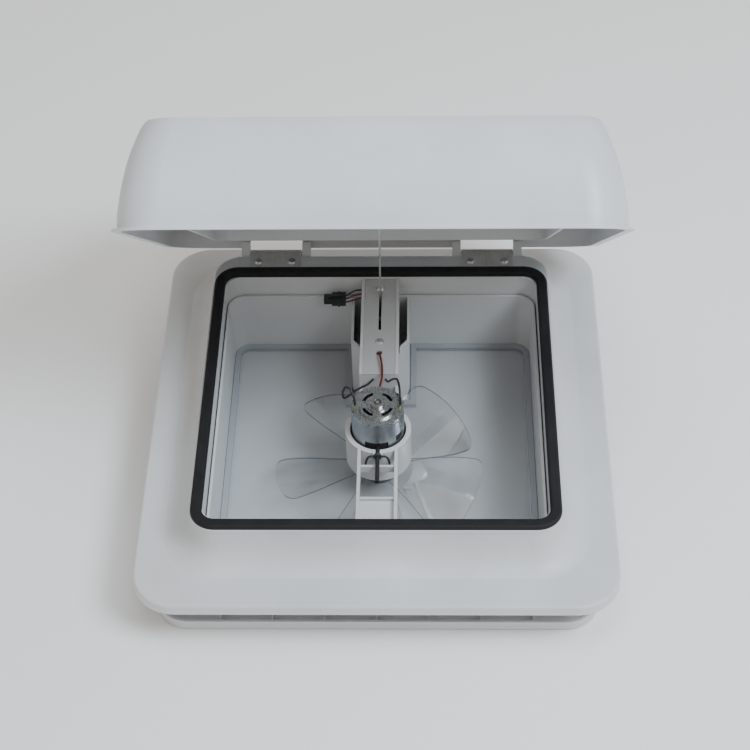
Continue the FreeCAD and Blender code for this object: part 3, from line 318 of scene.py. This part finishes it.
seal = foam_rubber("seal_foam", (0.012, 0.012, 0.013))
clear = clear_plastic("fan_clear")
black_sleeve = sleeve("black_sleeve", (0.012, 0.012, 0.013))
red_sleeve = sleeve("red_sleeve", (0.17, 0.012, 0.016))
# The screen wires' grey is their own tone darkened further: painted shade of the well, so the shaded
# screen stays dark.
mesh_wire = moulded("mesh_wire", (0.38, 0.405, 0.43), 0.5, grain=0.2)

FINISHES = {
    "base_frame": shell, "garnish": shell, "control_housing": shell, "screen_frame": screen_rim,
    "lid_shell": lid_skin, "lid_track": lid_skin, "support_bar": bar_plastic, "bar_cover": cover_plastic,
    "lid_gasket": seal, "crank_knob": knob_skin, "insect_screen": mesh_wire,
    "cover_screws": screw_steel, "garnish_screws": screw_steel, "bar_end_screws": screw_steel,
    "hinge_screws": screw_steel, "knob_screw": screw_steel, "motor_clamp_screw": dark_steel,
    "motor_can": can_steel, "motor_end_cap": cap_steel,
    "motor_bushes": bush_bronze, "motor_magnets": magnet,
    "motor_terminals": brass, "motor_brushes": brass, "motor_clip": black,
    "hinge_bracket_left": bracket_metal, "hinge_bracket_right": bracket_metal,
    "hinge_pin_left": plain_steel, "hinge_pin_right": plain_steel, "arm_axle": plain_steel,
    "gear_housing": black, "switch_body": black, "switch_rocker": black, "supply_connector": black,
    "motor_lead_left": black_sleeve, "motor_lead_right": black_sleeve, "motor_lead_red": red_sleeve,
    "supply_wire_upper": black_sleeve, "supply_wire_middle": red_sleeve, "supply_wire_lower": red_sleeve,
    "lift_arm": plain_steel, "sector_gear": nylon, "arm_slide_pin": nylon, "worm_shaft": nylon,
    "motor_shaft": plain_steel, "armature_core": can_steel, "commutator": brass,
    "fan_impeller": clear, "fan_bushing": brass,
}


def dress(obj, material):
    obj.data.materials.clear()
    obj.data.materials.append(material)


for name, node in nodes.items():
    dress(node, FINISHES[name])
for name, wire in wires.items():
    dress(wire, FINISHES[name])


# ---------------------------------------------------------------- insect screen

SCREEN_PITCH = 0.001
SCREEN_WIRE_HALF = 0.00014
NOTCH_GAP = 0.003           # between the control housing and the wires round it


def make_screen():
    """Two layers of straight fine wires that cross, with a notch for the control housing."""
    low, high = (Vector(c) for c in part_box("insect_screen"))
    housing_low, housing_high = (Vector(c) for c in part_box("control_housing"))
    pitch = SCREEN_PITCH
    half = SCREEN_WIRE_HALF
    notch_left, notch_right = housing_low.x - NOTCH_GAP, housing_high.x + NOTCH_GAP
    notch_front = housing_low.y - NOTCH_GAP
    middle = (low.z + high.z) / 2
    mesh = bmesh.new()

    def wire(start, end):
        along_x = abs(end.x - start.x) > abs(end.y - start.y)
        across = Vector((0, half, 0)) if along_x else Vector((half, 0, 0))
        rise = Vector((0, 0, half * 0.9))
        ring = [across, rise, -across, -rise]
        first = [mesh.verts.new(start + o) for o in ring]
        last = [mesh.verts.new(end + o) for o in ring]
        for n in range(4):
            mesh.faces.new((first[n], first[(n + 1) % 4], last[(n + 1) % 4], last[n]))

    rows = int((high.y - low.y) / pitch)
    for n in range(1, rows):
        y = low.y + n * pitch
        level = middle + half * 0.5
        if y < notch_front:
            wire(Vector((low.x, y, level)), Vector((high.x, y, level)))
        else:
            wire(Vector((low.x, y, level)), Vector((notch_left, y, level)))
            wire(Vector((notch_right, y, level)), Vector((high.x, y, level)))
    columns = int((high.x - low.x) / pitch)
    for n in range(1, columns):
        x = low.x + n * pitch
        far = notch_front if notch_left < x < notch_right else high.y
        level = middle - half * 0.5
        wire(Vector((x, low.y, level)), Vector((x, far, level)))
    data = bpy.data.meshes.new("screen_wires")
    mesh.to_mesh(data)
    mesh.free()
    screen = bpy.data.objects.new("screen_wires", data)
    scene.collection.objects.link(screen)
    dress(screen, mesh_wire)
    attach(screen, "frame")
    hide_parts("insect_screen")


make_screen()


# ---------------------------------------------------------------- floor and light

FLOOR_SIZE = 30
FLOOR_GAP = 0.0005


def make_stage():
    bpy.ops.mesh.primitive_plane_add(size=FLOOR_SIZE, location=(0, 0, cad_box[0][2] - FLOOR_GAP))
    floor = bpy.context.object
    floor.name = "floor"
    look = Look("floor", (0.97, 0.965, 0.95), 0.7)
    look.roughness_from(look.noise(3), 0.65, 0.75)
    dress(floor, look.material)


def add_light(name, place, aim, width, power, colour=(1, 1, 1)):
    data = bpy.data.lights.new(name, "AREA")
    data.shape = "RECTANGLE"
    data.size = width[0]
    data.size_y = width[1]
    data.energy = power
    data.color = colour
    light = bpy.data.objects.new(name, data)
    scene.collection.objects.link(light)
    light.location = place
    light.rotation_euler = (Vector(aim) - Vector(place)).to_track_quat("-Z", "Y").to_euler()


def make_light():
    world = scene.world or bpy.data.worlds.new("World")
    scene.world = world
    world.use_nodes = True
    sky = world.node_tree.nodes["Background"]
    sky.inputs["Color"].default_value = (1.0, 0.93, 0.86, 1)
    sky.inputs["Strength"].default_value = 0.58
    add_light("key", (1.35, -0.9, 2.2), (0, 0.0, 0.05), (1.0, 0.9), 62, (0.80, 0.90, 1.0))
    add_light("top", (0.1, -0.4, 2.5), (0, 0.05, 0.1), (1.4, 1.0), 20, (0.76, 0.88, 1.0))


make_stage()
make_light()
